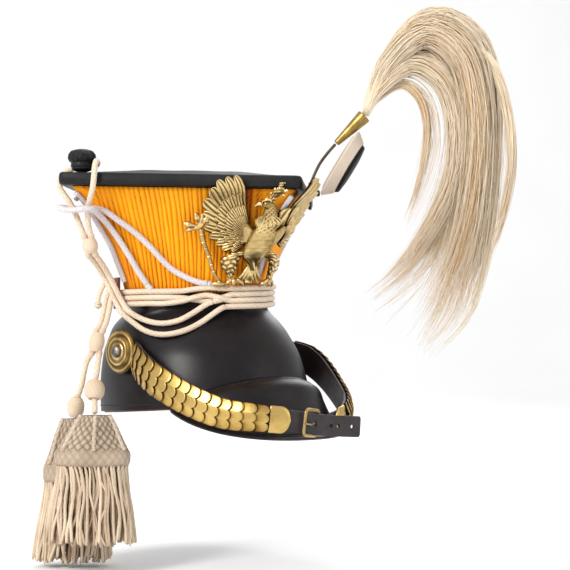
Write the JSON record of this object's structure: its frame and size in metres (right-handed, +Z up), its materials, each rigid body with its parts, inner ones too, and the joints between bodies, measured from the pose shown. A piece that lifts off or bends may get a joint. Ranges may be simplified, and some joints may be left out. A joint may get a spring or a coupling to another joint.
{
  "type": "lance cap",
  "caption": "Tall leather lance cap with a fluted cloth cover, square board, cap line with tassels, scaled chin strap, eagle plate and falling plume.",
  "frame": {"origin": "centre of the head opening, at the height of the skull's rim, where the wearer's head goes in", "axes": "+Z up the head, -Y to the front over the peak, +X to the wearer's left"},
  "size_m": [0.3473, 0.335, 0.4677],
  "materials": {
    "black_leather": "polished black leather, worn and cracked",
    "brown_leather": "plain brown leather",
    "strap_leather": "dull dark leather",
    "yellow_cloth": "matt wool cloth",
    "pale_cord": "braided wool cord",
    "cream_cord": "braided wool cord, yellowed",
    "brass": "cast and stamped brass, tarnished",
    "steel": "dull grey metal",
    "horsehair": "loose pale horsehair",
    "badge_cloth": "stitched off-white cord",
    "black_cloth": "black wool"
  },
  "bodies": {
    "root": {"skull": "black_leather", "sweatband": "brown_leather", "front_peak": "black_leather", "fluted_cover": "yellow_cloth", "corner_piping_front": "pale_cord", "corner_piping_right": "pale_cord", "corner_piping_back": "pale_cord", "corner_piping_left": "pale_cord", "board_edge": "black_leather", "board_top": "black_leather", "corner_knob": "black_leather", "cord_stud": "steel", "waist_cord": "cream_cord", "knob_loop": "cream_cord", "line_outer": "cream_cord", "line_inner": "cream_cord", "white_cord": "pale_cord", "drop_cord_front": "cream_cord", "drop_cord_rear": "cream_cord", "drop_front": "cream_cord", "drop_rear": "cream_cord", "line_end": "cream_cord", "waist_tab": "brown_leather", "slide_upper": "cream_cord", "slide_middle": "cream_cord", "slide_front": "cream_cord", "slide_rear": "cream_cord", "tassel_front": "cream_cord", "tassel_rear": "cream_cord", "strap_right": "strap_leather", "strap_left": "strap_leather", "scales_right_1": "brass", "scales_right_2": "brass", "scales_right_3": "brass", "tip_right": "brass", "scales_left_1": "brass", "scales_left_2": "brass", "scales_left_3": "brass", "tip_left": "brass", "buckle": "brass", "buckle_prong": "brass", "boss_right": "brass", "boss_left": "brass", "boss_screw_right": "steel", "boss_screw_left": "steel", "eagle_plate": "brass", "badge_pad": "badge_cloth", "badge_centre": "black_cloth", "badge_backing": "badge_cloth", "badge_tab": "black_leather", "plume_wire": "steel", "plume_ferrule": "brass", "plume": "horsehair"}
  },
  "joints": []
}
